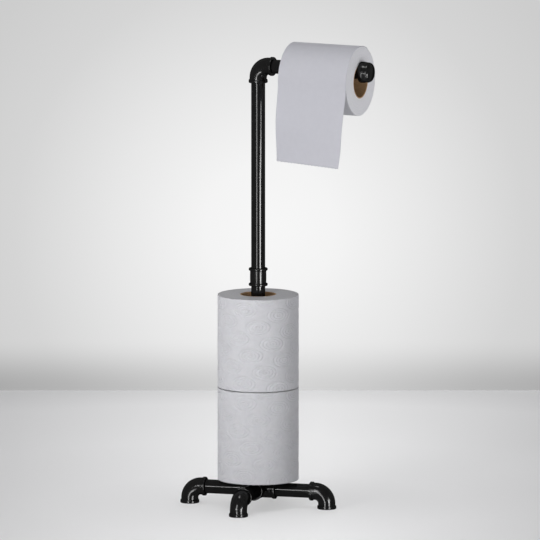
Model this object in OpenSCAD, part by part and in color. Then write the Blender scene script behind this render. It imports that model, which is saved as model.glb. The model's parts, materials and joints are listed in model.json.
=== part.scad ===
// Freestanding toilet roll holder, screwed together from threaded steel pipe and cast pipe fittings.
// It carries one roll on its arm, with a sheet hanging down, and two spare rolls on its post.
// Millimetres, +Z up. The origin is on the floor, on the post's axis, and the arm points along +X.

/* [Pipes] */
// Outside diameter of every pipe
pipe_od = 17.1; // [15.5:0.1:18.5]
// Wall of every pipe
pipe_wall = 2.3; // [1.6:0.1:2.8]
// Length of each leg pipe between its two fittings
leg_pipe_l = 43.2; // [34:0.2:80]
// Length of each of the two post pipes between their fittings
post_pipe_l = 228.25; // [190:0.25:300]
// Length of the arm pipe between the elbow and the cap
arm_pipe_l = 117; // [100:0.5:150]
// Length of thread that screws into each fitting
thread_l = 9.5; // [8:0.1:10.5]
// Distance from one thread crest to the next
thread_pitch = 1.35; // [1:0.05:1.8]
// Depth of the thread
thread_depth = 0.7; // [0.4:0.05:0.9]
// How far the thread's crests lie below the pipe's outside
thread_drop = 0.25; // [0.15:0.05:0.4]

/* [Elbows and hub] */
// Wall of an elbow or hub round its sockets
fitting_wall = 2.2; // [1.6:0.1:3]
// Length of the raised bead round each port
bead_l = 4.2; // [3:0.1:5]
// Height of that bead above the fitting's body
bead_rise = 1.1; // [0.6:0.1:1.6]
// Wall round the passage between an elbow's or the hub's sockets
passage_wall = 4; // [3:0.1:5]
// Distance from an elbow's centre to the end of each port
elbow_reach = 21; // [19.5:0.5:26]
// Radius of an elbow's bend, on its centre line
elbow_bend_r = 14.5; // [13:0.5:15]
// Distance from the hub's centre to the end of each port
hub_reach = 23; // [22:0.5:27]
// How far the hub's round middle stands out from its ports
hub_swell = 1.4; // [0.8:0.1:2.4]
// Angle from the arm to the nearest leg, seen from above
base_turn = 9; // [0:1:45]

/* [Post coupling] */
// Wall of the coupling round its sockets, at its middle
coupling_wall = 1.65; // [1.3:0.05:3]
// How much thinner its wall is beside the beads
coupling_crown = 0.3; // [0.1:0.05:0.6]
// Length of each bead at its ends
coupling_bead_l = 3.2; // [2.4:0.1:5]
// Height of those beads above its middle
coupling_bead_rise = 1.6; // [0.8:0.1:2]
// Radius of the rounded edges of those beads
coupling_bead_edge_r = 1.1; // [0.5:0.1:1.2]
// Length of solid metal between its two sockets
coupling_web = 2.2; // [1:0.1:6]

/* [End cap] */
// Wall of the cap round its socket
cap_wall = 3.85; // [2.6:0.05:4.6]
// Thickness of the cap's closed end
cap_end = 5.6; // [5.2:0.1:8]
// Length of the band at its open end
cap_band_l = 5.5; // [3:0.1:7]
// Height of that band above the cap's side
cap_band_rise = 0.7; // [0.4:0.1:1.2]
// Radius of the rounded edge at the closed end
cap_corner_r = 4.5; // [2:0.1:5]

/* [Spare rolls] */
// Outside diameter of each spare roll
spare_od = 99.7; // [85:0.1:120]
// Height of each spare roll
spare_h = 114.3; // [95:0.1:118]
// Inside diameter of a spare roll's core
spare_core_id = 42; // [38:0.5:46]

/* [Top roll] */
// Outside diameter of the roll on the arm
top_roll_od = 85; // [60:0.5:110]
// Width of the roll on the arm
top_roll_w = 91; // [85:0.5:105]
// Inside diameter of its core
top_core_id = 40; // [36:0.5:44]

/* [Paper] */
// Wall of every roll's cardboard core
core_wall = 1.2; // [0.8:0.1:2]
// Radius of the rounded outer edges of every roll
roll_edge_r = 1.5; // [0.5:0.1:3]
// Drop of the hanging sheet below the middle of the top roll
sheet_drop = 98; // [60:1:125]
// How much lower the sheet's corner by the cap hangs
sheet_slant = 2; // [0.5:0.5:6]
// Thickness of the hanging sheet
sheet_thick = 0.6; // [0.4:0.05:1]
// How far round the top roll the sheet lies on it, in degrees
sheet_wrap = 120; // [60:5:150]
// How far the sheet bows outward, halfway down
sheet_bow = 4; // [1:0.5:10]
// How far the sheet's corner by the cap swings outward
sheet_kick = 14; // [2:0.5:20]

/* [Fits] */
// Radial clearance between a thread's crests and its socket
thread_fit = 0.05; // [0.02:0.01:0.1]
// Gap past a pipe's end at the bottom of its socket
socket_relief = 0.4; // [0.2:0.1:1]
// Clearance round each cardboard core inside its paper
core_fit = 0.05; // [0.02:0.01:0.1]
// Gap between a roll or sheet and what it rests on
seat_gap = 0.3; // [0.2:0.05:0.5]
// Gap between the top roll and the cap
cap_gap = 0.4; // [0.2:0.1:2]

/* [Hidden] */
$fn = 96;
// Sides that stand for the coupling's crown, which is a short arc of a wide circle
crown_sides = 720;
// Overrun of every cut past the face that it opens
overrun = 1;

// Pipes and their threads
pipe_r = pipe_od / 2;
pipe_bore_r = pipe_r - pipe_wall;
thread_crest_r = pipe_r - thread_drop;
thread_root_r = thread_crest_r - thread_depth;
thread_turns = round(thread_l / thread_pitch);
thread_step = thread_l / thread_turns;

// Fittings
socket_r = thread_crest_r + thread_fit;
socket_depth = thread_l + socket_relief;
body_r = socket_r + fitting_wall;
bead_r = body_r + bead_rise;
passage_r = body_r - passage_wall;
hub_ball_r = body_r + hub_swell;
coupling_l = 2 * socket_depth + coupling_web;
coupling_r = socket_r + coupling_wall;
coupling_bead_r = coupling_r + coupling_bead_rise;
coupling_arc_r = (pow(coupling_l / 2, 2) + pow(coupling_crown, 2)) / (2 * coupling_crown);
cap_r = socket_r + cap_wall;
cap_band_r = cap_r + cap_band_rise;
cap_l = socket_depth + cap_end;

// Heights and places, from the feet up
leg_z = elbow_reach;
foot_x = hub_reach + leg_pipe_l + elbow_reach;
lower_post_z = leg_z + hub_reach;
coupling_z = lower_post_z + post_pipe_l;
upper_post_z = coupling_z + coupling_l;
arm_z = upper_post_z + post_pipe_l + elbow_reach;
cap_x = elbow_reach + arm_pipe_l;

// Rolls: the spares stand on the hub's beads, and the top roll's core hangs on the arm pipe
spare_z = leg_z + bead_r + seat_gap;
spare_rise = spare_h + seat_gap;
top_roll_x = cap_x - cap_gap - top_roll_w;
top_roll_z = arm_z + pipe_r + seat_gap - top_core_id / 2;

// The legs' directions about the post, counted from the one nearest the arm
RIGHT = 0;
REAR = 90;
LEFT = 180;
FRONT = 270;

// The hanging sheet's grid: steps round the roll, steps down the drop and steps across
wrap_steps = 20;
drop_steps = 14;
cross_steps = 8;
sheet_rows = wrap_steps + drop_steps;
sheet_inner_r = top_roll_od / 2 + seat_gap;

paint = "#1b1b1c";
cardboard = "#7a5c42";
tissue = "#d9d9de";

// Half a section of a ring whose two outer edges are rounded, from its base upward
module rounded_band(inner_r, outer_r, l, edge_r) {
    straight = outer_r - edge_r;
    translate([inner_r, 0]) square([straight - inner_r, l]);
    translate([inner_r, edge_r]) square([outer_r - inner_r, l - 2 * edge_r]);
    for (y = [edge_r, l - edge_r])
        translate([straight, y]) circle(r = edge_r);
}

// Half a section of a threaded end that runs up to a shoulder at height 0
function thread_points() = [
    for (i = [0 : thread_turns - 1]) each [
        [thread_root_r, (i - thread_turns) * thread_step],
        [thread_crest_r, (i - thread_turns + 0.5) * thread_step]
    ]
];

// Pipe along +Z from shoulder to shoulder, with a thread past each
module pipe(l) {
    low_end = thread_points();
    high_end = [for (p = low_end) [p[0], l - p[1]]];
    rotate_extrude()
        polygon(concat(
            [[pipe_bore_r, -thread_l]],
            low_end,
            [[thread_root_r, 0], [pipe_r, 0], [pipe_r, l], [thread_root_r, l]],
            [for (i = [len(high_end) - 1 : -1 : 0]) high_end[i]],
            [[pipe_bore_r, l + thread_l]]
        ));
}

// Outside of a port along +Z, from a fitting's centre to the port's end
module port(reach) {
    cylinder(h = reach, r = body_r);
    translate([0, 0, reach - bead_l])
        rotate_extrude() rounded_band(0, bead_r, bead_l, bead_rise);
}

// Socket sunk into a port's end, along +Z from a fitting's centre
module socket(reach) {
    translate([0, 0, reach - socket_depth]) cylinder(h = socket_depth + overrun, r = socket_r);
}

// Quarter bend of round section from the +X port to the -Z port of an elbow
module bend(section_r) {
    translate([elbow_bend_r, 0, -elbow_bend_r])
        rotate([90, 0, 0]) rotate([0, 0, 90])
            rotate_extrude(angle = 90) translate([elbow_bend_r, 0]) circle(r = section_r);
}

// Turns +Z to an elbow's two ports, +X and -Z
module at_elbow_ports() {
    rotate([0, 90, 0]) children();
    rotate([180, 0, 0]) children();
}

// Straight length of an elbow's port, past its bend
module elbow_straight() {
    translate([0, 0, elbow_bend_r]) cylinder(h = elbow_reach - elbow_bend_r, r = body_r);
    translate([0, 0, elbow_reach - bead_l])
        rotate_extrude() rounded_band(0, bead_r, bead_l, bead_rise);
}

// Elbow with its centre at the origin and its ports along +X and -Z
module elbow() {
    difference() {
        union() {
            bend(body_r);
            at_elbow_ports() elbow_straight();
        }
        bend(passage_r);
        at_elbow_ports() {
            translate([0, 0, elbow_bend_r])
                cylinder(h = elbow_reach - elbow_bend_r + overrun, r = passage_r);
            socket(elbow_reach);
        }
    }
}

// Turns +Z to the hub's four level ports
module at_leg_ports() {
    for (turn = [RIGHT, REAR, LEFT, FRONT])
        rotate([0, 90, turn]) children();
}

// Places a piece on a leg: its own origin goes to the given distance out, at the leg's height
module on_leg(turn, out) {
    rotate([0, 0, base_turn + turn]) translate([out, 0, leg_z]) children();
}

module base_hub() {
    color(paint)
        translate([0, 0, leg_z]) rotate([0, 0, base_turn])
            difference() {
                union() {
                    sphere(r = hub_ball_r);
                    port(hub_reach);
                    at_leg_ports() port(hub_reach);
                }
                cylinder(h = hub_reach, r = passage_r);
                at_leg_ports() cylinder(h = hub_reach, r = passage_r);
                socket(hub_reach);
                at_leg_ports() socket(hub_reach);
            }
}

module leg_pipe_at(turn) {
    color(paint) on_leg(turn, hub_reach) rotate([0, 90, 0]) pipe(leg_pipe_l);
}

module leg_pipe_right() leg_pipe_at(RIGHT);
module leg_pipe_left() leg_pipe_at(LEFT);
module leg_pipe_front() leg_pipe_at(FRONT);
module leg_pipe_rear() leg_pipe_at(REAR);

module foot_elbow_at(turn) {
    color(paint) on_leg(turn, foot_x) rotate([0, 0, 180]) elbow();
}

module foot_elbow_right() foot_elbow_at(RIGHT);
module foot_elbow_left() foot_elbow_at(LEFT);
module foot_elbow_front() foot_elbow_at(FRONT);
module foot_elbow_rear() foot_elbow_at(REAR);

module lower_post() {
    color(paint) translate([0, 0, lower_post_z]) pipe(post_pipe_l);
}

// Half a section of the coupling's crowned middle
module coupling_middle() {
    intersection() {
        square([coupling_r, coupling_l]);
        translate([coupling_r - coupling_arc_r, coupling_l / 2])
            circle(r = coupling_arc_r, $fn = crown_sides);
    }
}

module post_coupling() {
    color(paint)
        translate([0, 0, coupling_z])
            difference() {
                union() {
                    rotate_extrude() coupling_middle();
                    for (z = [0, coupling_l - coupling_bead_l])
                        translate([0, 0, z])
                            rotate_extrude()
                                rounded_band(0, coupling_bead_r, coupling_bead_l, coupling_bead_edge_r);
                }
                translate([0, 0, -overrun]) cylinder(h = coupling_l + 2 * overrun, r = passage_r);
                translate([0, 0, -overrun]) cylinder(h = socket_depth + overrun, r = socket_r);
                translate([0, 0, coupling_l - socket_depth])
                    cylinder(h = socket_depth + overrun, r = socket_r);
            }
}

module upper_post() {
    color(paint) translate([0, 0, upper_post_z]) pipe(post_pipe_l);
}

module top_elbow() {
    color(paint) translate([0, 0, arm_z]) elbow();
}

module arm_pipe() {
    color(paint) translate([elbow_reach, 0, arm_z]) rotate([0, 90, 0]) pipe(arm_pipe_l);
}

module end_cap() {
    color(paint)
        translate([cap_x, 0, arm_z]) rotate([0, 90, 0])
            difference() {
                rotate_extrude() {
                    rounded_band(0, cap_band_r, cap_band_l, cap_band_rise);
                    square([cap_r, cap_l - cap_corner_r]);
                    square([cap_r - cap_corner_r, cap_l]);
                    translate([cap_r - cap_corner_r, cap_l - cap_corner_r]) circle(r = cap_corner_r);
                }
                translate([0, 0, -overrun]) cylinder(h = socket_depth + overrun, r = socket_r);
            }
}

// Cardboard tube of a roll, along +Z
module core(id, l) {
    color(cardboard)
        difference() {
            cylinder(h = l, d = id + 2 * core_wall);
            translate([0, 0, -overrun]) cylinder(h = l + 2 * overrun, d = id);
        }
}

// Wound paper of a roll round its core, along +Z
module wound_paper(od, id, l) {
    color(tissue)
        rotate_extrude() rounded_band(id / 2 + core_wall + core_fit, od / 2, l, roll_edge_r);
}

// Puts a roll's base end on the arm, by the elbow, with its axis along the arm
module on_arm() {
    translate([top_roll_x, 0, top_roll_z]) rotate([0, 90, 0]) children();
}

// Puts a roll on the post, with the given number of rolls under it
module on_post(below) {
    translate([0, 0, spare_z + below * spare_rise]) children();
}

module top_roll_core() on_arm() core(top_core_id, top_roll_w);
module top_roll_paper() on_arm() wound_paper(top_roll_od, top_core_id, top_roll_w);
module lower_spare_core() on_post(0) core(spare_core_id, spare_h);
module lower_spare_paper() on_post(0) wound_paper(spare_od, spare_core_id, spare_h);
module upper_spare_core() on_post(1) core(spare_core_id, spare_h);
module upper_spare_paper() on_post(1) wound_paper(spare_od, spare_core_id, spare_h);

// Point of the hanging sheet's face that lies the given height off the roll side of the sheet.
// Rows go from its hidden end over the roll, round the front and down. Across is 0 by the elbow.
function sheet_point(row, across, lift) =
    row <= wrap_steps
        ? wrap_point(sheet_wrap * (1 - row / wrap_steps), across, sheet_inner_r + lift)
        : drop_point((row - wrap_steps) / drop_steps, across, sheet_inner_r + lift);

function wrap_point(angle, across, r) = [
    top_roll_x + across * top_roll_w,
    -r * cos(angle),
    top_roll_z + r * sin(angle)
];

function drop_point(down, across, r) = [
    top_roll_x + across * top_roll_w,
    -r - sheet_bow * pow(sin(180 * down), 2) - sheet_kick * across * pow(down, 2),
    top_roll_z - down * (sheet_drop + across * sheet_slant)
];

function sheet_face(lift) = [
    for (row = [0 : sheet_rows]) for (col = [0 : cross_steps])
        sheet_point(row, col / cross_steps, lift)
];

// Index of a grid point in the sheet's list of points: side 0 faces the roll, side 1 faces out
function at(row, col, side) = (side * (sheet_rows + 1) + row) * (cross_steps + 1) + col;

// The two triangles of a four-sided patch
function patch(a, b, c, d) = [[a, b, c], [a, c, d]];

module hanging_sheet() {
    rows = sheet_rows;
    cols = cross_steps;
    faces = [
        for (row = [0 : rows - 1]) for (col = [0 : cols - 1]) each concat(
            patch(at(row, col, 0), at(row, col + 1, 0), at(row + 1, col + 1, 0), at(row + 1, col, 0)),
            patch(at(row, col, 1), at(row + 1, col, 1), at(row + 1, col + 1, 1), at(row, col + 1, 1))
        ),
        for (row = [0 : rows - 1]) each concat(
            patch(at(row, 0, 0), at(row + 1, 0, 0), at(row + 1, 0, 1), at(row, 0, 1)),
            patch(at(row, cols, 0), at(row, cols, 1), at(row + 1, cols, 1), at(row + 1, cols, 0))
        ),
        for (col = [0 : cols - 1]) each concat(
            patch(at(0, col, 0), at(0, col, 1), at(0, col + 1, 1), at(0, col + 1, 0)),
            patch(at(rows, col, 0), at(rows, col + 1, 0), at(rows, col + 1, 1), at(rows, col, 1))
        )
    ];
    color(tissue) polyhedron(points = concat(sheet_face(0), sheet_face(sheet_thick)), faces = faces);
}

base_hub();
leg_pipe_right();
leg_pipe_left();
leg_pipe_front();
leg_pipe_rear();
foot_elbow_right();
foot_elbow_left();
foot_elbow_front();
foot_elbow_rear();
lower_post();
post_coupling();
upper_post();
top_elbow();
arm_pipe();
end_cap();
top_roll_core();
top_roll_paper();
hanging_sheet();
lower_spare_core();
lower_spare_paper();
upper_spare_core();
upper_spare_paper();
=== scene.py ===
import json
import math

import bpy
import numpy as np
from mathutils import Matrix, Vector


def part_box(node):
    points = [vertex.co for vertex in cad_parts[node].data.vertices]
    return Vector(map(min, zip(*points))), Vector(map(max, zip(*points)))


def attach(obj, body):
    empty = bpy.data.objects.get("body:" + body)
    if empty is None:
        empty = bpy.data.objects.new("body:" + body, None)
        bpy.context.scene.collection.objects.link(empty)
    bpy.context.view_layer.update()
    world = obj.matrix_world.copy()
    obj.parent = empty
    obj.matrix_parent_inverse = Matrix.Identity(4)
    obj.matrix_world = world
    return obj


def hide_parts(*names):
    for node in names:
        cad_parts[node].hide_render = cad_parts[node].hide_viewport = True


# A freestanding toilet roll holder of gloss black pipe, loaded with one roll in use and two spare rolls.
# Metres and +Z up. The post stands on the origin, the arm points along +X and the sheet hangs on the -Y side.

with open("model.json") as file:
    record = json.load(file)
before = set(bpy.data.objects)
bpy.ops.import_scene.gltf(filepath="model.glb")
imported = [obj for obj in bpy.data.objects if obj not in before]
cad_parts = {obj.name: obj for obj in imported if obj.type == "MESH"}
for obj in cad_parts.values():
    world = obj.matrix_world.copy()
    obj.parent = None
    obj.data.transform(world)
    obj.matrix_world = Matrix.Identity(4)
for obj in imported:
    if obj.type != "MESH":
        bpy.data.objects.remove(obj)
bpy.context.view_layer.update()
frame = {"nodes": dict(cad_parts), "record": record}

MM = 0.001
FULL_TURN = 2 * math.pi
NODES = frame["nodes"]
SLOT_OF = {part["node"]: part["material_slot"] for part in frame["record"]["subparts"]}
MOUNTS = {mount["name"]: mount for mount in frame["record"]["mounts"]}

# The open ports of the feet, whose radius is that of every socket
PORTS = MOUNTS["foot_ports"]["dims"]
PORT_R = PORTS["hole_r_mm"] * MM

# Camera, from the photograph: its frame, the post's axis, the floor under it, and the pipe's width. Its two
# angles are degrees
FRAME_PX = 540
POST_X_PX = 258.2
FLOOR_Y_PX = 506.0
PIPE_PX = 14.0
CAMERA_AZIMUTH = 25.0
CAMERA_ELEVATION = 8.5
CAMERA_DISTANCE = 20.0
CAMERA_CLIP = (0.1, 100.0)
SENSOR_MM = 36.0
CAMERA_RIGHT = Vector((math.cos(math.radians(CAMERA_AZIMUTH)), math.sin(math.radians(CAMERA_AZIMUTH)), 0))
CAMERA_FORWARD = Vector((-CAMERA_RIGHT.y, CAMERA_RIGHT.x, 0))
PIPE_LOW, PIPE_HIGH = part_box("upper_post")
PIXEL = (PIPE_HIGH.x - PIPE_LOW.x) / PIPE_PX

# Ripples, which make paper uneven: each wave's rate along x, its rate along y and how far the seed shifts it
RIPPLES = [(1, 0.9, 0.5), (-2, 1.6, 2.1), (3, -1.1, 4.2), (1, 2.3, 1.3), (-5, -0.7, 3.7), (7, 1.9, 5.9)]
RIPPLE_FADE = 0.5

# Black paint: the sizes of its mottle and its duller patches, and its gloss, with the span over which that
# fades as the surface turns edge on
MOTTLE = 9 * MM
DULL_PATCH = 14 * MM
GLOSS = 0.3
GLOSS_FADE = (0.2, 0.6)
PIPE_GREYS = (0.0045, 0.0070)
PIPE_ROUGHNESS = (0.08, 0.11)
PIPE_GRAIN = [(9.0 * MM, 0.004 * MM)]
FITTING_GREYS = (0.0050, 0.0080)
FITTING_ROUGHNESS = (0.13, 0.20)
FITTING_GRAIN = [(6.0 * MM, 0.050 * MM), (1.6 * MM, 0.006 * MM)]

# Tissue: its fibres, crepe and cloudy shade, the plies that show in its wound edges, and its colours
FIBRE = 0.5 * MM
FIBRE_DEPTH = 0.03 * MM
CUT_FIBRE_DEPTH = 0.05 * MM
CREPE = 2.2 * MM
CREPE_DEPTH = 0.03 * MM
CLOUD = 6 * MM
PLY = 0.6 * MM
PLY_DEPTH = 0.25 * MM
PLY_WANDER = 0.9 * MM
SHADE_STOPS = (0.3, 0.7)
TISSUE_ROUGHNESS = (0.8, 0.98)
TISSUE_GLOSS = 0.2
TISSUE_SHEEN = 0.1
TISSUE_SHEEN_ROUGHNESS = 0.6
ROLL_COLOURS = ((0.585, 0.585, 0.61), (0.625, 0.625, 0.65))
# The hanging sheet's greys are darker than the roll's tissue: this is painted shade, with a faint blue tint
# of its own
SHEET_COLOURS_PAINTED_SHADE = ((0.525, 0.525, 0.565), (0.545, 0.545, 0.585))
# The spare rolls' wound ends are greyer than their sides: this is painted shade on their ends
SPARE_EDGE_PAINTED_SHADE = ((0.375, 0.375, 0.39), (0.475, 0.475, 0.49))
# The wound ends of the roll in use are lighter than its side: this is painted light on the face beside the
# cap
TOP_EDGE_PAINTED_LIGHT = ((0.58, 0.58, 0.605), (0.72, 0.72, 0.75))
THROUGH_SHARE = 0.18
THROUGH_COLOUR = (0.93, 0.93, 0.97, 1)

# Card of the cores: its stretched fibres and its flecks
CARD_FIBRE = 1.2 * MM
CARD_FIBRE_DEPTH = 0.08 * MM
CARD_STRETCH = 0.35
FLECK = 0.45 * MM
FLECK_DEPTH = 0.03 * MM
FLECK_SHARE = 0.7
CARD_BROWNS = [(0.25, (0.38, 0.225, 0.11)), (0.75, (0.58, 0.37, 0.20))]
FLECK_GREYS = [(0.36, 0.75), (0.5, 1.0)]
CARD_ROUGHNESS = (0.75, 0.95)
CARD_GLOSS = 0.25

# Embossing of the spare rolls: a slanted lattice of flattened rosettes, and small dots between them
ROSETTE_AT = (187.7 * MM, 80.0 * MM)
LATTICE = ((17.4 * MM, -20.6 * MM), (-9.3 * MM, -35.0 * MM))
ROSETTE_FLATNESS = 1.75
ROSETTE_REACH = 19.5 * MM
RING_STEP = 4.4 * MM
RING_DEPTH = 0.75 * MM
RING_FADE = 0.4 * RING_STEP
DOT_STEP = 3.1 * MM
DOT_R = 0.9 * MM
DOT_DEPTH = 0.14 * MM

# Winding of the rolls: its rounded edges, the waves of its side, the ridges and dishing of its ends, which
# fade out near the hole and near the side, and the step at its free edge
EDGE_R = 0.9 * MM
EDGE_ROWS = 5
HOLE_ROWS = 6
SIDE_WAVE = 0.04 * MM
SIDE_WAVE_STEP = 9 * MM
RIDGES = 15
RIDGE_DEPTH = 0.22 * MM
RIDGE_WANDER = 0.35
RIDGE_WANDER_RATE = 5
RIDGE_VARIETY = 0.4
RIDGE_VARIETY_RATE = 7.3
DISH_DEPTH = 0.35 * MM
DISH_RATE = 2
DISH_SEED_STEP = 3
END_INNER_SHARE = 0.05
END_OUTER_SHARE = 0.94
TAIL_STEP = 0.25 * MM
TAIL_ANGLE = math.radians(80)
PAPER_FIT = 0.05 * MM

# Grids of the rolls: the columns round the paper, with the rows up its side and across each end, and the
# columns round the core, with the rows up its inside
SPARE_GRID = (420, 190, 30)
SPARE_CORE_GRID = (200, 60)
SPARE_SEEDS = {"lower": 1, "upper": 2}
TOP_GRID = (300, 40, 44)
TOP_CORE_GRID = (200, 50)
TOP_SEED = 5

# Cardboard cores
CORE_WALL = 1.2 * MM
CORE_RIM_R = 0.25 * MM
CORE_RIM_TURNS = np.radians([15, 45, 75])
SEAM_LEAD = 96 * MM
SEAM_W = 1.3 * MM
SEAM_FLAT_SHARE = 0.3
SEAM_DEPTH = 0.16 * MM

# The cap, whose end is slightly crowned; its other sizes are its solid's
CAP_BAND_L = 5.5 * MM
CAP_BAND_RISE = 0.7 * MM
CAP_CORNER_R = 4.5 * MM
CAP_CROWN_TILT = math.radians(12)
CAP_FILLET_R = 0.3 * MM
CAP_TIP_R = 0.4 * MM
CAP_COLUMNS = 96
CAP_CROWN_ROWS = 10
CAP_CORNER_ROWS = 12
CAP_FILLET_TURNS = np.radians([0, 30, 60])
CAP_EDGE_TURNS = np.radians([30, 50, 70, 90])
CAP_RIM_TURNS = np.radians([0, 30, 60, 90])
SOCKET_DEPTH = 9.9 * MM
SOCKET_EDGE = 0.2 * MM

# The hanging sheet, which follows the curve of its solid; its angles are degrees
SHEET_THICK = 0.18 * MM
SHEET_WRAP = 120.0
SHEET_LEAVES_AT = 40.0
SHEET_BOW = 5.5 * MM
SHEET_HANG = 3.5 * MM
SHEET_KICK = 19.0 * MM
SHEET_SLANT = 2.0 * MM
SHEET_ON_ROLL = 0.14 * MM
SHEET_OFF_ROLL = 0.55 * MM
SHEET_WAVE = 0.45 * MM
SHEET_WAVE_RATES = (4.5, 5)
SHEET_SEED = 2
SHEET_COLUMNS = 91
SHEET_WRAP_ROWS = 48
SHEET_DROP_ROWS = 52
TOOTH_COLUMNS = 5
TOOTH = 0.5 * MM

# Screw thread inside each open port. Its start and half width are shares of its pitch, and its taper is turns
THREAD_PITCH = 1.35 * MM
THREAD_TURNS = 6
THREAD_START = 0.8
THREAD_HALF_WIDTH = 0.45
THREAD_TAPER = 0.4
THREAD_RISE = 0.7 * MM
THREAD_ROOT = 0.12 * MM
THREAD_STEPS = 48

# Backdrop: the greys of its glow from the middle outwards, and the dark band at its foot, with what it takes
# away in its middle and at its sides. Heights and middles are parts of a direction of length 1
GLOW = [(0.0, 0.93), (0.19, 0.905), (0.32, 0.855), (0.456, 0.80), (0.60, 0.733), (0.75, 0.665), (1.0, 0.61)]
GLOW_HEIGHT = -0.1453
GLOW_REACH_PX = 340
GLOW_REACH = GLOW_REACH_PX * PIXEL / CAMERA_DISTANCE
BAND_TOP = -0.1519
BAND_DARKEST = -0.1549
BAND_BOTTOM = BAND_DARKEST - 0.02
BAND_MIDDLE = 0.0018
BAND_LEVELS = (0.175, 0.375)

# The backdrop's strength in reflections, less on the camera's side, and the even light, less from above
ROOM_SPAN = (0.2, 0.9)
ROOM_LEVELS = (0.35, 1.0)
AMBIENT_SPAN = (0.1, 0.7)
AMBIENT_LEVELS = (0.645, 0.265)
AMBIENT_TINT = (0.98, 0.98, 1.0)

# Floor: its own grey, the glow that shows on it and dims sideways, its round edge, whose fade starts later at
# the back, and the line at which it ends there
FLOOR_R = 1.0
FLOOR_SIDES = 128
FLOOR_COLOUR = (0.50, 0.50, 0.505, 1)
FLOOR_GLOW = [(0.0, 0.39), (0.25, 0.497), (0.5, 0.51), (0.8, 0.45), (0.93, 0.33)]
POOL_MIDDLE = 0.02
POOL_SPAN = (0.06, 0.34)
POOL_LEVELS = (1.0, 0.56)
RIM_SPAN = (0.5, 0.8)
RIM_STARTS = (0.7, 0.98)
FLOOR_END = (0.904, 0.916)

# Lamps: name, what it does, target, azimuth, elevation, distance, width, height and radiance. A lamp that
# lights isn't seen in reflections, and one that shines is seen only there
LAMPS = [
    ("key", "lights", (0, 0, 0.25), -9, 0, 1.5, 0.4, 0.8, 12.0),
    ("right_fill", "lights", (0, 0, 0.25), 70, 5, 1.5, 0.8, 0.8, 1.0),
    ("rear_fill", "both", (0, 0, 0.40), 195, 4, 2.0, 1.2, 1.2, 3.5),
    ("face_fill", "lights", (0.13, 0, 0.52), 82, -12, 0.35, 0.3, 0.3, 0.24),
    ("top_soft", "both", (0.09, 0, 0.575), -5, 70, 0.6, 0.25, 0.25, 8.0),
    ("key_strip", "shines", (0, 0, 0.40), 2.5, 2, 1.5, 0.28, 0.84, 12.0),
    ("key_foot", "shines", (0, 0, 0.05), 4, -19, 1.59, 0.31, 0.9, 14.5),
    ("right_strip", "shines", (0, 0, 0.078), 59, 0, 1.5, 0.40, 0.256, 30.0),
    ("upper_strip", "shines", (0, 0, 0.258), 69, 0, 1.5, 0.32, 0.104, 24.0),
    ("right_foot", "shines", (0, 0, 0.05), 60, -19, 1.59, 0.42, 0.9, 15.0),
    ("low_strip", "shines", (0, 0, 0.02), -7, 9.5, 2.0, 0.53, 0.067, 50.0),
    ("rear_strip", "shines", (0, 0, 0.40), 160, 0, 1.5, 0.2, 0.9, 2.5),
    ("left_strip", "shines", (0, 0, 0.40), 245, 0, 1.5, 0.2, 0.9, 2.5),
]
FACE_FILL_SPREAD = math.radians(60)


# Meshes


def lathe(profile, columns):
    """Heights, radii and angles of a profile turned round an axis. The profile is a list of its stretches."""
    heights, radii = (np.concatenate(stretches) for stretches in zip(*profile))
    angles = np.linspace(0, FULL_TURN, columns, endpoint=False)
    return np.broadcast_arrays(heights[:, None], radii[:, None], angles[None, :])


def grid_faces(rows, columns, wrap_rows, wrap_columns):
    """Four-sided faces between the points of a grid, closed round where it wraps."""
    r = np.arange(rows if wrap_rows else rows - 1)[:, None]
    c = np.arange(columns if wrap_columns else columns - 1)[None, :]
    r2, c2 = (r + 1) % rows, (c + 1) % columns
    corners = [r * columns + c, r * columns + c2, r2 * columns + c2, r2 * columns + c]
    return np.stack(corners, axis=-1).reshape(-1, 4)


def solid_faces(rows, columns):
    """Four-sided faces of a grid that closes round its columns and straight across its first and last row."""
    i = np.arange(columns // 2 - 1)
    end = np.stack([i, i + 1, columns - 2 - i, columns - 1 - i], axis=-1)
    return np.concatenate([grid_faces(rows, columns, False, True), end[:, ::-1], end + (rows - 1) * columns])


def volume(points, faces):
    """Signed volume inside a closed mesh of four-sided faces."""
    a, b, c, d = (points[faces[:, i]] for i in range(4))
    return float((a * (np.cross(b, c) + np.cross(c, d))).sum() / 6)


def make_piece(name, points, faces, body, materials, shades=None):
    """A smooth piece that rides on a body. shades says which of its materials each face has."""
    points = points.reshape(-1, 3)
    if volume(points, faces) < 0:
        faces = faces[:, ::-1]
    mesh = bpy.data.meshes.new(name)
    mesh.from_pydata(points.tolist(), [], faces.tolist())
    mesh.polygons.foreach_set("use_smooth", np.ones(len(faces), bool))
    for m in materials:
        mesh.materials.append(m)
    if shades is not None:
        mesh.polygons.foreach_set("material_index", shades.astype(np.int32))
    mesh.update()
    piece = bpy.data.objects.new(name, mesh)
    bpy.context.scene.collection.objects.link(piece)
    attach(piece, body)
    return piece


def smooth_step(low, high, x):
    """Rises smoothly from 0 at low to 1 at high."""
    t = np.clip((x - low) / (high - low), 0, 1)
    return t * t * (3 - 2 * t)


def swell(x):
    """Rises from 0 to 1 and falls again, once for each whole number of x."""
    return 0.5 - 0.5 * np.cos(FULL_TURN * x)


def ripple(x, y, seed):
    """Smooth uneven field from about -1 to 1, the same each time. It repeats every full turn of x."""
    shares = [1 / (1 + RIPPLE_FADE * k) for k in range(len(RIPPLES))]
    total = sum(s * np.sin(a * x + b * y + c * seed) for s, (a, b, c) in zip(shares, RIPPLES))
    return total / sum(shares)


# Materials


def shader(name):
    """A new material, its node tree and its main shader."""
    m = bpy.data.materials.new(name)
    m.use_nodes = True
    return m, m.node_tree, m.node_tree.nodes["Principled BSDF"]


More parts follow.
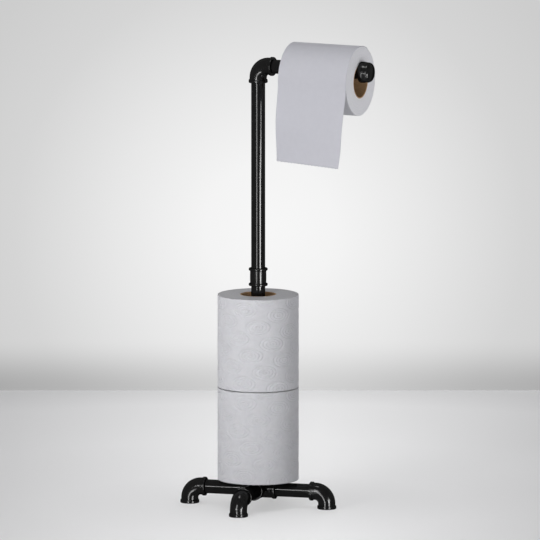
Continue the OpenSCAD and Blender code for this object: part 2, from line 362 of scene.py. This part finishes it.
def feed(node, inputs):
    """Sets inputs of a node to values, or feeds them from sockets."""
    for key, value in inputs.items():
        if isinstance(value, bpy.types.NodeSocket):
            node.id_data.links.new(value, node.inputs[key])
        else:
            node.inputs[key].default_value = value


def add(tree, kind, inputs=None, **settings):
    """A new node with its settings and its inputs."""
    node = tree.nodes.new(kind)
    for key, value in settings.items():
        setattr(node, key, value)
    feed(node, inputs or {})
    return node


def vector_math(tree, operation, a, b):
    return add(tree, "ShaderNodeVectorMath", {0: a, 1: b}, operation=operation).outputs["Vector"]


def dot(tree, a, b):
    inputs = {0: a, 1: tuple(b)}
    return add(tree, "ShaderNodeVectorMath", inputs, operation="DOT_PRODUCT").outputs["Value"]


def length_of(tree, vector):
    return add(tree, "ShaderNodeVectorMath", {0: vector}, operation="LENGTH").outputs["Value"]


def math_node(tree, operation, a, b):
    return add(tree, "ShaderNodeMath", {0: a, 1: b}, operation=operation).outputs[0]


def stretch(tree, value, low, high, start=0.0, end=1.0, interpolation="LINEAR"):
    """Carries a value that runs from start to end over to low to high, and holds it there beyond them."""
    inputs = {"Value": value, "From Min": start, "From Max": end, "To Min": low, "To Max": high}
    return add(tree, "ShaderNodeMapRange", inputs, interpolation_type=interpolation).outputs[0]


def place_on(tree):
    """The point on the surface, in metres, which stays with the piece as it moves."""
    return add(tree, "ShaderNodeTexCoord").outputs["Object"]


def noise(tree, size, detail=3.0, roughness=0.5, vector=None):
    """Noise with features of about that size in metres, from 0 to 1."""
    inputs = {"Vector": vector or place_on(tree), "Scale": 1 / size, "Detail": detail, "Roughness": roughness}
    return add(tree, "ShaderNodeTexNoise", inputs).outputs["Fac"]


def ramp(tree, factor, stops):
    """Colour ramp with the given stops, each a position and a grey or colour."""
    node = add(tree, "ShaderNodeValToRGB", {"Fac": factor})
    elements = node.color_ramp.elements
    while len(elements) < len(stops):
        elements.new(0.5)
    for element, (position, colour) in zip(elements, stops):
        element.position = position
        element.color = (*colour, 1) if isinstance(colour, tuple) else (colour, colour, colour, 1)
    return node.outputs["Color"]


def shaded(tree, factor, colours):
    """A colour between the dark one and the light one."""
    return ramp(tree, factor, list(zip(SHADE_STOPS, colours)))


def bump(tree, heights):
    """Normal of a surface with several layers of unevenness, each a height and its depth in metres."""
    below = {}
    for height, depth in heights:
        inputs = {"Height": height, "Distance": depth, "Strength": 1.0, **below}
        below = {"Normal": add(tree, "ShaderNodeBump", inputs).outputs["Normal"]}
    return below["Normal"]


def gloss_paint(name, greys, roughness, grain):
    """Black gloss paint. grain lists the size and depth of each layer of its unevenness."""
    m, tree, main = shader(name)
    facing = add(tree, "ShaderNodeLayerWeight").outputs["Facing"]
    feed(main, {
        "Base Color": shaded(tree, noise(tree, MOTTLE, detail=4), greys),
        "Roughness": stretch(tree, noise(tree, DULL_PATCH, detail=5, roughness=0.6), *roughness),
        "Normal": bump(tree, [(noise(tree, size, detail=2), depth) for size, depth in grain]),
        "Specular IOR Level": stretch(tree, facing, GLOSS, 0.0, *GLOSS_FADE),
    })
    return m


def plies(tree, cloud, centre, across):
    """Shade of the plies in a wound edge, which run round the roll's axis and wander a little."""
    from_axis = vector_math(tree, "MULTIPLY", vector_math(tree, "SUBTRACT", place_on(tree), centre), across)
    wander = math_node(tree, "MULTIPLY", cloud, PLY_WANDER)
    radius = math_node(tree, "ADD", length_of(tree, from_axis), wander)
    inputs = {"W": radius, "Scale": 1 / PLY, "Detail": 3.0}
    return add(tree, "ShaderNodeTexNoise", inputs, noise_dimensions="1D").outputs["Fac"]


def tissue(name, colours, centre=None, across=None):
    """Soft white tissue. Given a roll's centre and the directions across its axis, it shows wound edges."""
    m, tree, main = shader(name)
    fibres = noise(tree, FIBRE, detail=4, roughness=0.6)
    shade = noise(tree, CLOUD, detail=4, roughness=0.6)
    if centre:
        shade = plies(tree, shade, centre, across)
        heights = [(shade, PLY_DEPTH), (fibres, CUT_FIBRE_DEPTH)]
    else:
        heights = [(noise(tree, CREPE), CREPE_DEPTH), (fibres, FIBRE_DEPTH)]
    feed(main, {
        "Base Color": shaded(tree, shade, colours),
        "Roughness": stretch(tree, fibres, *TISSUE_ROUGHNESS),
        "Normal": bump(tree, heights),
        "Specular IOR Level": TISSUE_GLOSS,
        "Sheen Weight": TISSUE_SHEEN,
        "Sheen Roughness": TISSUE_SHEEN_ROUGHNESS,
    })
    return m


def thin_tissue(name, colours):
    """One layer of tissue, which lets a share of the light through."""
    m = tissue(name, colours)
    tree = m.node_tree
    through = add(tree, "ShaderNodeBsdfTranslucent", {"Color": THROUGH_COLOUR}).outputs[0]
    main = tree.nodes["Principled BSDF"].outputs[0]
    both = add(tree, "ShaderNodeMixShader", {0: THROUGH_SHARE, 1: main, 2: through}).outputs[0]
    feed(tree.nodes["Material Output"], {"Surface": both})
    return m


def cardboard(name, scales):
    """Brown card with flecks and fibres. scales, one for each axis, stretch the fibres along the roll."""
    m, tree, main = shader(name)
    stretched = vector_math(tree, "MULTIPLY", place_on(tree), scales)
    fibres = noise(tree, CARD_FIBRE, detail=5, roughness=0.65, vector=stretched)
    flecks = noise(tree, FLECK, detail=2)
    layers = {"Fac": FLECK_SHARE, "Color1": ramp(tree, fibres, CARD_BROWNS),
              "Color2": ramp(tree, flecks, FLECK_GREYS)}
    feed(main, {
        "Base Color": add(tree, "ShaderNodeMixRGB", layers, blend_type="MULTIPLY").outputs["Color"],
        "Roughness": stretch(tree, flecks, *CARD_ROUGHNESS),
        "Normal": bump(tree, [(fibres, CARD_FIBRE_DEPTH), (flecks, FLECK_DEPTH)]),
        "Specular IOR Level": CARD_GLOSS,
    })
    return m


PAINT = {
    "black_pipe": gloss_paint("pipe_paint", PIPE_GREYS, PIPE_ROUGHNESS, PIPE_GRAIN),
    "black_fitting": gloss_paint("fitting_paint", FITTING_GREYS, FITTING_ROUGHNESS, FITTING_GRAIN),
}
ROLL_TISSUE = tissue("roll_tissue", ROLL_COLOURS)
# The sheet's tissue is a darker copy of the roll's, which is painted shade
SHEET_TISSUE = thin_tissue("sheet_tissue_painted_shade", SHEET_COLOURS_PAINTED_SHADE)


# Rolls


def standing(base):
    """Places a roll whose axis is the post's, from (height, radius, angle) arrays."""
    def place(height, radius, angle):
        return np.stack([radius * np.cos(angle), radius * np.sin(angle), base + height], axis=-1)
    return place


def lying(base, z):
    """Places a roll whose axis lies along the arm, at that height."""
    def place(height, radius, angle):
        return np.stack([base + height, radius * np.sin(angle), z - radius * np.cos(angle)], axis=-1)
    return place


def embossing(height, arc):
    """Depth of the pattern in a roll's side, at each height and arc length from the paper's free edge."""
    across, up = arc - ROSETTE_AT[0], height - ROSETTE_AT[1]
    (ax, ay), (bx, by) = LATTICE
    area = ax * by - ay * bx
    i, j = np.round((across * by - up * bx) / area), np.round((ax * up - ay * across) / area)
    # The nearest rosette is that of this lattice cell or of one next to it
    nearest = np.full(across.shape, np.inf)
    for di in (-1, 0, 1):
        for dj in (-1, 0, 1):
            dx = across - (i + di) * ax - (j + dj) * bx
            dy = up - (i + di) * ay - (j + dj) * by
            nearest = np.minimum(nearest, np.hypot(dx, dy * ROSETTE_FLATNESS))
    inside = 1 - smooth_step(ROSETTE_REACH - RING_FADE, ROSETTE_REACH, nearest)
    column = np.round(arc / DOT_STEP)
    row = up / DOT_STEP + column % 2 / 2
    off = np.hypot(arc / DOT_STEP - column, row - np.round(row)) * DOT_STEP
    dots = DOT_DEPTH * np.exp(-2 * (off / DOT_R) ** 2)
    return RING_DEPTH * swell(nearest / RING_STEP) * inside + dots * (1 - inside)


def side_depth(heights, radii, angles, size, embossed, seed):
    """How far a roll's side lies inside its outer radius. An embossed one has a step at its free edge."""
    length, outer_r, _ = size
    on_side = smooth_step(outer_r - EDGE_R, outer_r, radii)
    depth = SIDE_WAVE * (1 + ripple(angles, heights / SIDE_WAVE_STEP, seed))
    if embossed:
        away = smooth_step(0, 2 * EDGE_R, np.minimum(heights, length - heights))
        from_tail = (angles - TAIL_ANGLE) % FULL_TURN
        depth = depth + away * embossing(heights, from_tail * outer_r) + TAIL_STEP * from_tail / FULL_TURN
    return on_side * depth


def end_depth(radii, angles, size, seed):
    """How far the wound ends of a roll are sunk: ridges of its layers, over a wide uneven dishing."""
    _, outer_r, inner_r = size
    share = (radii - inner_r) / (outer_r - inner_r)
    wander = RIDGE_WANDER * ripple(angles, share * RIDGE_WANDER_RATE, seed)
    wound = swell(share * RIDGES + angles / FULL_TURN + wander)
    variety = 1 - RIDGE_VARIETY + RIDGE_VARIETY * np.sin(RIDGE_VARIETY_RATE * share + seed)
    dish = DISH_DEPTH * (0.5 + 0.5 * ripple(angles, share * DISH_RATE, seed + DISH_SEED_STEP))
    faded = (1 - smooth_step(END_OUTER_SHARE, 1, share)) * smooth_step(0, END_INNER_SHARE, share)
    return (RIDGE_DEPTH * wound * variety + dish) * faded


def make_roll(name, paper_node, body, place, size, grid, embossed, seed, edges):
    """Wound paper of a roll, closed round its section and round its axis."""
    length, outer_r, inner_r = size
    columns, side_rows, end_rows = grid
    turn = np.radians(np.linspace(0, 90, EDGE_ROWS + 2))[1:-1]
    corner_h = length - EDGE_R + EDGE_R * np.sin(turn)
    corner_r = outer_r - EDGE_R + EDGE_R * np.cos(turn)
    ring = np.linspace(outer_r - EDGE_R, inner_r, end_rows)
    hole = np.linspace(length, 0, HOLE_ROWS)[1:-1]
    heights, radii, angles = lathe([
        (np.linspace(EDGE_R, length - EDGE_R, side_rows), np.full(side_rows, outer_r)),
        (corner_h, corner_r),
        (np.full(end_rows, length), ring),
        (hole, np.full(len(hole), inner_r)),
        (np.zeros(end_rows), ring[::-1]),
        ((length - corner_h)[::-1], corner_r[::-1]),
    ], columns)
    # 1 at the far end, -1 at the near one and 0 between them
    at_end = np.sign(heights - length / 2) * (np.minimum(heights, length - heights) < EDGE_R)
    points = place(heights - at_end * end_depth(radii, angles, size, seed),
                   radii - side_depth(heights, radii, angles, size, embossed, seed), angles)
    faces = grid_faces(len(heights), columns, True, True)
    # The wound ends take the edge tissue, whose greys are painted shade on the spare rolls and painted light
    # on the roll in use
    piece = make_piece(name, points, faces, body, [ROLL_TISSUE, edges],
                       faces[:, 0] // columns >= side_rows)
    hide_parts(paper_node)


def make_core(name, core_node, body, place, length, outer_r, grid, card):
    """Spiral-wound cardboard core, with the seam of its inner ply sunk a little."""
    columns, rows = grid
    inner_r = outer_r - CORE_WALL
    rim_h, rim_r = CORE_RIM_R * (1 - np.sin(CORE_RIM_TURNS)), CORE_RIM_R * (1 - np.cos(CORE_RIM_TURNS))
    heights, radii, angles = lathe([
        ([CORE_RIM_R, length - CORE_RIM_R], [outer_r, outer_r]),
        (length - rim_h, outer_r - rim_r),
        ((length - rim_h)[::-1], (inner_r + rim_r)[::-1]),
        (np.linspace(length - CORE_RIM_R, CORE_RIM_R, rows), np.full(rows, inner_r)),
        (rim_h, inner_r + rim_r),
        (rim_h[::-1], (outer_r - rim_r)[::-1]),
    ], columns)
    girth = FULL_TURN * inner_r
    turns_off = (angles / FULL_TURN - heights / SEAM_LEAD + 0.5) % 1 - 0.5
    from_seam = np.abs(turns_off) * girth * SEAM_LEAD / math.hypot(SEAM_LEAD, girth)
    seam = 1 - smooth_step(SEAM_FLAT_SHARE * SEAM_W, SEAM_W, from_seam)
    points = place(heights, radii + SEAM_DEPTH * seam * (radii < inner_r + CORE_RIM_R), angles)
    piece = make_piece(name, points, grid_faces(len(heights), columns, True, True), body,
                       [card])
    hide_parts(core_node)


def make_spare(which, seed):
    """One spare roll: its paper and its core, standing on the post."""
    spare = f"{which}_spare"
    low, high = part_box(f"{spare}_paper")
    core_low, core_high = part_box(f"{spare}_core")
    place = standing(low.z)
    length = high.z - low.z
    core_r = (core_high.x - core_low.x) / 2
    size = (length, (high.x - low.x) / 2, core_r + PAPER_FIT)
    # The wound ends take darker greys than the side, which are painted shade
    edges = tissue(f"{spare}_edges", SPARE_EDGE_PAINTED_SHADE, (0, 0, 0), (1, 1, 0))
    card = cardboard(f"{spare}_card", (1, 1, CARD_STRETCH))
    make_roll(f"{spare}_winding", f"{spare}_paper", spare, place, size, SPARE_GRID, True, seed, edges)
    make_core(f"{spare}_tube", f"{spare}_core", spare, place, length, core_r, SPARE_CORE_GRID, card)


def make_top_roll():
    """The roll in use: its paper and its core, lying on the arm."""
    low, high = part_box("top_roll_paper")
    core_low, core_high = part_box("top_roll_core")
    z = (low.z + high.z) / 2
    place = lying(low.x, z)
    length = high.x - low.x
    core_r = (core_high.z - core_low.z) / 2
    size = (length, (high.z - low.z) / 2, core_r + PAPER_FIT)
    # The wound ends take lighter greys than the side, which are painted light
    edges = tissue("top_roll_edges_painted_light", TOP_EDGE_PAINTED_LIGHT, (0, 0, z), (0, 1, 1))
    card = cardboard("top_roll_card", (CARD_STRETCH, 1, 1))
    make_roll("top_roll_winding", "top_roll_paper", "top_roll", place, size, TOP_GRID, False, TOP_SEED, edges)
    make_core("top_roll_tube", "top_roll_core", "top_roll", place, length, core_r, TOP_CORE_GRID, card)


def make_sheet():
    """The free end of the roll in use: it leaves the roll behind its crest, lies over it and hangs down."""
    paper_low, paper_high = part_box("top_roll_paper")
    sheet_low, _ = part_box("hanging_sheet")
    roll_r = (paper_high.z - paper_low.z) / 2
    z = (paper_low.z + paper_high.z) / 2
    drop = z - sheet_low.z - SHEET_SLANT
    across = np.linspace(0, 1, SHEET_COLUMNS + 1)[None, :]
    teeth = TOOTH * (np.arange(SHEET_COLUMNS + 1) % TOOTH_COLUMNS == TOOTH_COLUMNS // 2)[None, :]

    angle = np.linspace(SHEET_WRAP, 0, SHEET_WRAP_ROWS + 1)[:, None]
    leave = smooth_step(SHEET_LEAVES_AT, 0, angle)
    r = roll_r + SHEET_ON_ROLL + (SHEET_OFF_ROLL - SHEET_ON_ROLL) * leave
    y_on, z_on = -r * np.cos(np.radians(angle)), z + r * np.sin(np.radians(angle))

    down = np.linspace(0, 1, SHEET_DROP_ROWS + 1)[1:, None]
    bow = SHEET_BOW * np.sin(math.pi * down) ** 2
    kick = (SHEET_KICK * across + SHEET_HANG) * down ** 2
    across_rate, down_rate = SHEET_WAVE_RATES
    wave = SHEET_WAVE * down * ripple(across * across_rate, down * down_rate, SHEET_SEED)
    y_off = -r[-1] - bow - kick + wave
    z_off = z - down * (drop - TOOTH + across * SHEET_SLANT) - teeth * (down == 1)

    rows = len(angle) + len(down)
    ys = np.concatenate([np.broadcast_to(y_on, (len(angle), across.size)), y_off])
    zs = np.concatenate([np.broadcast_to(z_on, (len(angle), across.size)), z_off])
    xs = np.broadcast_to(paper_low.x + across * (paper_high.x - paper_low.x), ys.shape)
    sheet = make_piece("hanging_tissue", np.stack([xs, ys, zs], axis=-1),
                       grid_faces(rows, across.size, False, False), "paper_sheet",
                       [SHEET_TISSUE])
    solid = sheet.modifiers.new("thickness", "SOLIDIFY")
    solid.thickness = SHEET_THICK
    solid.offset = 0
    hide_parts("hanging_sheet")


# Cap, and screw threads in the feet


def make_cap():
    """The cap of the arm. Its profile runs from its crowned end down its side, over its band and into its
    socket."""
    low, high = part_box("end_cap")
    length, band_r = high.x - low.x, (high.z - low.z) / 2
    side_r = band_r - CAP_BAND_RISE
    corner_r = side_r - CAP_CORNER_R
    crown_r = corner_r + CAP_CORNER_R * math.sin(CAP_CROWN_TILT)
    crown_h = crown_r * math.tan(CAP_CROWN_TILT) / 2
    corner_h = length - crown_h - CAP_CORNER_R * math.cos(CAP_CROWN_TILT)
    out = np.linspace(CAP_TIP_R, crown_r, CAP_CROWN_ROWS)
    corner = np.linspace(CAP_CROWN_TILT, math.pi / 2, CAP_CORNER_ROWS)[1:]
    heights, radii, angles = lathe([
        (length - crown_h * (out / crown_r) ** 2, out),
        (corner_h + CAP_CORNER_R * np.cos(corner), corner_r + CAP_CORNER_R * np.sin(corner)),
        (CAP_BAND_L + CAP_FILLET_R * (1 - np.sin(CAP_FILLET_TURNS)),
         side_r + CAP_FILLET_R * (1 - np.cos(CAP_FILLET_TURNS))),
        (CAP_BAND_L - CAP_BAND_RISE * (1 - np.cos(CAP_EDGE_TURNS)),
         side_r + CAP_BAND_RISE * np.sin(CAP_EDGE_TURNS)),
        (CAP_BAND_RISE * (1 - np.sin(CAP_RIM_TURNS)), side_r + CAP_BAND_RISE * np.cos(CAP_RIM_TURNS)),
        ([0, 0, SOCKET_EDGE, SOCKET_DEPTH], [PORT_R + SOCKET_EDGE, PORT_R, PORT_R, PORT_R]),
    ], CAP_COLUMNS)
    points = lying(low.x, (low.z + high.z) / 2)(heights, radii, angles)
    cap = make_piece("crowned_cap", points, solid_faces(len(heights), CAP_COLUMNS), "arm",
                     [PAINT[SLOT_OF["end_cap"]]])
    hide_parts("end_cap")


def make_port_thread(side):
    """Helical thread on the wall of a foot's open port. Its section is a triangle with a fourth point in its
    root side, so that one four-sided face closes each end."""
    rim = MOUNTS[f"foot_rim_{side}"]["pos_m"]
    direction = math.atan2(rim[1], rim[0])
    centre = Vector((math.cos(direction), math.sin(direction), 0)) * PORTS["pcd_mm"] * MM / 2
    steps = THREAD_TURNS * THREAD_STEPS + 1
    turn = np.linspace(0, THREAD_TURNS, steps)[:, None]
    crest = PORT_R - THREAD_RISE * smooth_step(0, THREAD_TAPER, np.minimum(turn, THREAD_TURNS - turn))
    root = np.full_like(turn, PORT_R + THREAD_ROOT)
    radius = np.concatenate([root, crest, root, root], axis=1)
    z = THREAD_PITCH * (THREAD_START + turn + np.array([[-THREAD_HALF_WIDTH, 0, THREAD_HALF_WIDTH, 0]]))
    x = centre.x + radius * np.cos(FULL_TURN * turn)
    y = centre.y + radius * np.sin(FULL_TURN * turn)
    make_piece(f"port_thread_{side}", np.stack([x, y, z], axis=-1), solid_faces(steps, 4), "stand",
               [PAINT["black_fitting"]])


# Studio


def look(obj, target):
    """Turns a lamp or camera towards a point."""
    obj.rotation_euler = (target - obj.location).to_track_quat("-Z", "Y").to_euler()


def around(target, azimuth, elevation, distance):
    """The point at that azimuth, elevation and distance from a target; azimuth 0 is on the -Y side."""
    a, e = math.radians(azimuth), math.radians(elevation)
    return target + distance * Vector((math.sin(a) * math.cos(e), -math.cos(a) * math.cos(e), math.sin(e)))


def make_lamp(name, target, azimuth, elevation, distance, width, height, radiance):
    """A soft rectangular lamp of that radiance, facing its target."""
    data = bpy.data.lights.new(name, "AREA")
    data.shape = "RECTANGLE"
    data.size, data.size_y = width, height
    data.energy = radiance * math.pi * width * height
    lamp = bpy.data.objects.new(name, data)
    bpy.context.scene.collection.objects.link(lamp)
    lamp.location = around(target, azimuth, elevation, distance)
    look(lamp, target)
    lamp.visible_camera = False
    return lamp


def make_camera():
    """The photograph's view: its scale comes from the pipe, and its centre from the post and the floor."""
    height = (FLOOR_Y_PX - FRAME_PX / 2) * PIXEL / math.cos(math.radians(CAMERA_ELEVATION))
    target = CAMERA_RIGHT * (FRAME_PX / 2 - POST_X_PX) * PIXEL + Vector((0, 0, height))
    data = bpy.data.cameras.new("camera")
    data.sensor_width = SENSOR_MM
    data.lens = SENSOR_MM * CAMERA_DISTANCE / (FRAME_PX * PIXEL)
    data.clip_start, data.clip_end = CAMERA_CLIP
    camera = bpy.data.objects.new("camera", data)
    bpy.context.scene.collection.objects.link(camera)
    camera.location = around(target, CAMERA_AZIMUTH, CAMERA_ELEVATION, CAMERA_DISTANCE)
    look(camera, target)
    bpy.context.scene.camera = camera


def seen_rays(tree):
    """1 for camera, glossy and transmission rays, which show the background, and 0 for rays that light."""
    path = add(tree, "ShaderNodeLightPath").outputs
    seen = math_node(tree, "MAXIMUM", path["Is Camera Ray"], path["Is Glossy Ray"])
    return math_node(tree, "MAXIMUM", seen, path["Is Transmission Ray"])


def sideways(tree, vector, middle=0.0):
    """How far a vector reaches to either side of the camera's line of sight, or of a middle right of it."""
    across = dot(tree, vector, CAMERA_RIGHT)
    return math_node(tree, "ABSOLUTE", math_node(tree, "SUBTRACT", across, middle), 0)


def make_world():
    """A pale backdrop with a soft glow behind the object that darkens towards the floor, and even light."""
    world = bpy.data.worlds.new("studio")
    bpy.context.scene.world = world
    world.use_nodes = True
    tree = world.node_tree
    tree.nodes.clear()
    direction = add(tree, "ShaderNodeTexCoord").outputs["Generated"]
    up = add(tree, "ShaderNodeSeparateXYZ", {0: direction}).outputs["Z"]

    above = math_node(tree, "SUBTRACT", up, GLOW_HEIGHT)
    offset = add(tree, "ShaderNodeCombineXYZ", {"X": sideways(tree, direction), "Y": above}).outputs[0]
    glow = ramp(tree, math_node(tree, "MULTIPLY", length_of(tree, offset), 1 / GLOW_REACH), GLOW)

    darkening = stretch(tree, up, 0.0, 1.0, BAND_TOP, BAND_DARKEST, "SMOOTHSTEP")
    depth = stretch(tree, sideways(tree, direction, BAND_MIDDLE), *BAND_LEVELS, end=GLOW_REACH)
    above_bottom = stretch(tree, up, 0.0, 1.0, BAND_BOTTOM, BAND_DARKEST)
    band = math_node(tree, "MULTIPLY", math_node(tree, "MULTIPLY", darkening, depth), above_bottom)

    room = stretch(tree, dot(tree, direction, CAMERA_FORWARD), *ROOM_LEVELS, *ROOM_SPAN)
    camera_ray = add(tree, "ShaderNodeLightPath").outputs["Is Camera Ray"]
    level = math_node(tree, "MULTIPLY", math_node(tree, "SUBTRACT", 1.0, band),
                      math_node(tree, "MAXIMUM", room, camera_ray))
    seen = add(tree, "ShaderNodeBackground", {"Color": glow, "Strength": level}).outputs[0]

    ambient = stretch(tree, up, *AMBIENT_LEVELS, *AMBIENT_SPAN)
    lit = add(tree, "ShaderNodeBackground", {"Color": (*AMBIENT_TINT, 1), "Strength": ambient}).outputs[0]
    mixed = add(tree, "ShaderNodeMixShader", {0: seen_rays(tree), 1: lit, 2: seen}).outputs[0]
    add(tree, "ShaderNodeOutputWorld", {"Surface": mixed})


def floor_material():
    """Pale floor with a glow that shows but doesn't light, clear past its soft edge and from below."""
    m, tree, main = shader("floor")
    tree.nodes.remove(main)
    place = place_on(tree)
    out = math_node(tree, "MULTIPLY", length_of(tree, place), 1 / FLOOR_R)
    back = dot(tree, place, CAMERA_FORWARD)

    pool = stretch(tree, sideways(tree, place, POOL_MIDDLE), *POOL_LEVELS, *POOL_SPAN)
    inputs = {"Color": ramp(tree, out, FLOOR_GLOW), "Strength": pool}
    glow = add(tree, "ShaderNodeEmission", inputs).outputs[0]
    dark = add(tree, "ShaderNodeEmission", {"Strength": 0.0}).outputs[0]
    shown = add(tree, "ShaderNodeMixShader", {0: seen_rays(tree), 1: dark, 2: glow}).outputs[0]
    matte = add(tree, "ShaderNodeBsdfDiffuse", {"Color": FLOOR_COLOUR}).outputs[0]
    surface = add(tree, "ShaderNodeAddShader", {0: matte, 1: shown}).outputs[0]

    rim_start = stretch(tree, back, *RIM_STARTS, *RIM_SPAN)
    past_edge = math_node(tree, "MAXIMUM", stretch(tree, out, 0.0, 1.0, rim_start, 1.0),
                          stretch(tree, back, 0.0, 1.0, *FLOOR_END))
    below = add(tree, "ShaderNodeNewGeometry").outputs["Backfacing"]
    hidden = math_node(tree, "MAXIMUM", past_edge, below)
    clear = add(tree, "ShaderNodeBsdfTransparent").outputs[0]
    mixed = add(tree, "ShaderNodeMixShader", {0: hidden, 1: surface, 2: clear}).outputs[0]
    feed(tree.nodes["Material Output"], {"Surface": mixed})
    return m


def make_floor():
    """Plain round floor that fades into the backdrop."""
    turn = np.linspace(0, FULL_TURN, FLOOR_SIDES, endpoint=False)
    ring = [(FLOOR_R * math.cos(a), FLOOR_R * math.sin(a), 0) for a in turn]
    mesh = bpy.data.meshes.new("floor")
    mesh.from_pydata(ring, [], [range(FLOOR_SIDES)])
    mesh.materials.append(floor_material())
    floor = bpy.data.objects.new("floor", mesh)
    bpy.context.scene.collection.objects.link(floor)
    floor.visible_glossy = False


def make_lamps():
    """The studio's lamps: soft light, and strips that show as highlights."""
    for name, does, target, *values in LAMPS:
        lamp = make_lamp(name, Vector(target), *values)
        lamp.visible_glossy = does != "lights"
        lamp.visible_diffuse = does != "shines"
    bpy.data.lights["face_fill"].spread = FACE_FILL_SPREAD


# Build the scene, where the pipes and fittings show as their solids

for name, node in NODES.items():
    if SLOT_OF[name] in PAINT:
        node.data.materials.clear()
        node.data.materials.append(PAINT[SLOT_OF[name]])
for which, seed in SPARE_SEEDS.items():
    make_spare(which, seed)
make_top_roll()
make_sheet()
make_cap()
for side in ("right", "rear", "left", "front"):
    make_port_thread(side)

make_camera()
make_world()
make_floor()
make_lamps()

bpy.context.scene.view_settings.view_transform = "Standard"
